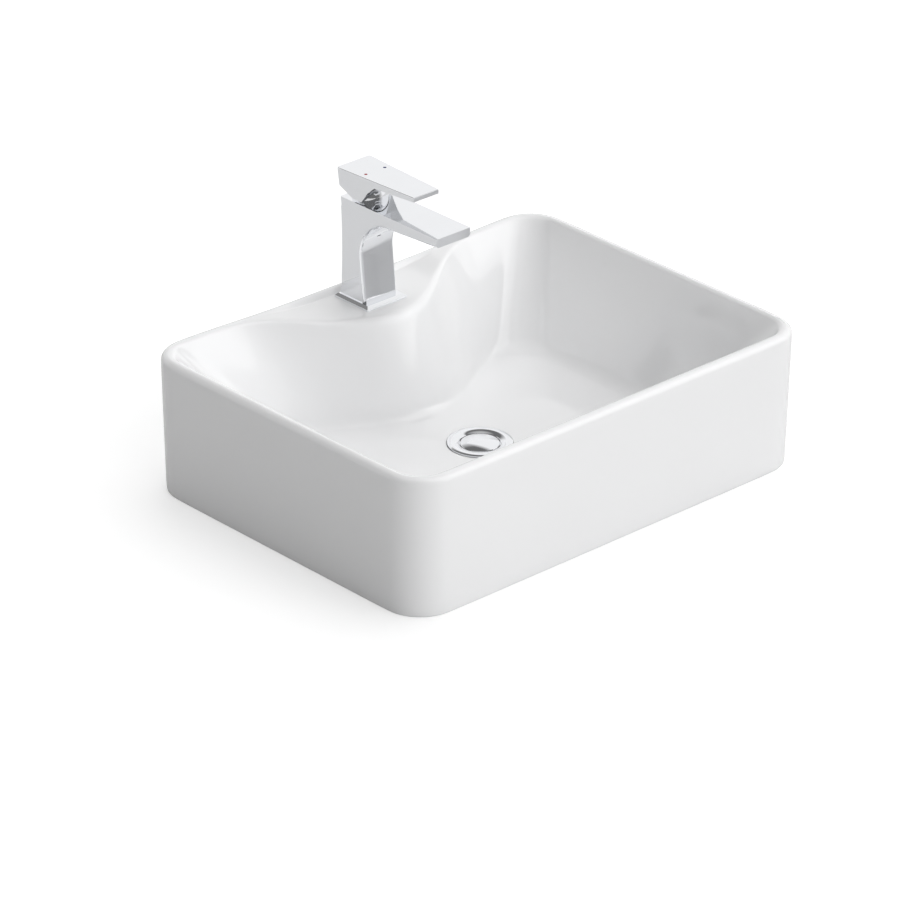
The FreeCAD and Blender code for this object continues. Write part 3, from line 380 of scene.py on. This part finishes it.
def set_world(fill, shadow_side, ceiling):
    """White where the camera looks and an even fill for the light. Reflections see a white backdrop that
    stands round the basin, low at the left and tall at the right, a dim room above it and behind the camera,
    and a pale ceiling. The room keeps its place when the camera moves."""
    world = bpy.data.worlds.new("studio")
    world.use_nodes = True
    world.node_tree.nodes.clear()
    shade = Shade(world.node_tree)
    direction = shade.node("ShaderNodeTexCoord", {}, {}, output="Generated")
    away = -way_to(CAMERA_AZIMUTH, 0)
    ahead = shade.node("ShaderNodeVectorMath", {"operation": "DOT_PRODUCT"}, {0: direction, 1: away},
                       output="Value")
    aside = shade.node("ShaderNodeSeparateXYZ", {}, {"Vector": direction}, output="X")
    height = shade.node("ShaderNodeSeparateXYZ", {}, {"Vector": direction}, output="Z")
    around = ramp(shade, ahead, BEHIND_CAMERA, 0.0, 1.0)
    tall = ramp(shade, aside, TALL_SIDE, 0.0, TALL_SIDE_RISE)
    below = ramp(shade, height - tall, BACKDROP_TOP, 1.0, 0.0)
    overhead = ramp(shade, height, CEILING_EDGE, 0.0, ceiling)
    room = shadow_side + (1.0 - shadow_side) * around * below + overhead
    looked = rays(shade, "Camera")
    mirrored = rays(shade, "Glossy", "Transmission")
    strength = fill * (1.0 - looked - mirrored) + looked + mirrored * room
    background = shade.node("ShaderNodeBackground", {}, {"Color": (1, 1, 1, 1), "Strength": strength})
    shade.node("ShaderNodeOutputWorld", {}, {"Surface": background})
    bpy.context.scene.world = world


def lay_floor(colour, lift, mirror_lift):
    """A level square at counter height: the points (x, y, 0) for x and y at both ends of its reach. It glows
    where the camera looks at it, and a little in reflections."""
    ends = (-FLOOR_REACH, FLOOR_REACH)
    x, y = np.meshgrid(ends, ends)
    corners = np.stack((x, y, np.zeros_like(x)), -1).reshape(-1, 3)
    mesh = bpy.data.meshes.new("floor")
    mesh.from_pydata(corners.tolist(), [], [(0, 1, 3, 2)])
    floor = bpy.data.objects.new("floor", mesh)
    bpy.context.scene.collection.objects.link(floor)
    material, shade = blank_material("pale_floor")
    glow = lift * rays(shade, "Camera", "Transmission") + mirror_lift * rays(shade, "Glossy")
    opaque(shade, Base_Color=tint(colour, 1.0), Roughness=0.9, Emission_Color=glow, Emission_Strength=1.0)
    mesh.materials.append(material)


def no_glare():
    """A collection that keeps a lamp out of the chrome, which shows the room, the floor and the basin."""
    kept_out = bpy.data.collections.new("no_glare")
    for name in CHROME_NODES:
        kept_out.objects.link(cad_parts[name])
    for entry in kept_out.collection_objects:
        entry.light_linking.link_state = "EXCLUDE"
    return kept_out


def lamp(name, strength, spread, azimuth, elevation):
    """A distant lamp, a disc so many degrees wide, that shines on the basin from where its angles say."""
    data = bpy.data.lights.new(name, "SUN")
    data.energy = strength
    data.angle = math.radians(spread)
    thing = bpy.data.objects.new(name, data)
    thing.rotation_euler = (-way_to(azimuth, elevation)).to_track_quat("-Z", "Y").to_euler()
    bpy.context.scene.collection.objects.link(thing)
    return thing


class BASIN_OT_stage(bpy.types.Operator):
    """Set a pale floor, four soft lamps, a gleam for the glaze, the room in reflections and the camera."""
    bl_idname = "basin.stage"
    bl_label = "Set the studio"

    def execute(self, context):
        look = looks().stage
        lay_floor(look.floor, look.lift, look.mirror_lift)
        for name, place in SOFT_LAMPS.items():
            soft = lamp(name, getattr(look, name), SOFT_SPREAD, *place)
            soft.visible_glossy = False
        kept_out = no_glare()
        for spread in GLEAM_SPREADS:
            gleam = lamp(f"gleam_{spread}", look.gleam / len(GLEAM_SPREADS), spread, *GLEAM_PLACE)
            gleam.visible_diffuse = False
            gleam.light_linking.receiver_collection = kept_out
        set_world(look.fill, look.shadow_side, look.ceiling)
        set_camera(look.lens)
        context.scene.view_settings.view_transform = "Standard"
        return {"FINISHED"}


OPERATORS = (BASIN_OT_glaze, BASIN_OT_chrome, BASIN_OT_metals, BASIN_OT_soft, BASIN_OT_stage)


class BASIN_PT_looks(bpy.types.Panel):
    bl_idname = "BASIN_PT_looks"
    bl_label = "Basin"
    bl_space_type = "VIEW_3D"
    bl_region_type = "UI"
    bl_category = "Basin"

    def draw(self, context):
        for operator in OPERATORS:
            self.layout.operator(operator.bl_idname)


CLASSES = (GlazeLook, MetalLook, StageLook, BasinLooks) + OPERATORS + (BASIN_PT_looks,)


def register():
    for made in CLASSES:
        bpy.utils.register_class(made)
    bpy.types.Scene.basin_looks = PointerProperty(type=BasinLooks)


def unregister():
    del bpy.types.Scene.basin_looks
    for made in reversed(CLASSES):
        bpy.utils.unregister_class(made)


def main():
    register()
    bpy.ops.basin.glaze()
    bpy.ops.basin.chrome()
    bpy.ops.basin.metals()
    bpy.ops.basin.soft()
    bpy.ops.basin.stage()
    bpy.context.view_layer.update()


if __name__ == "__main__":
    main()
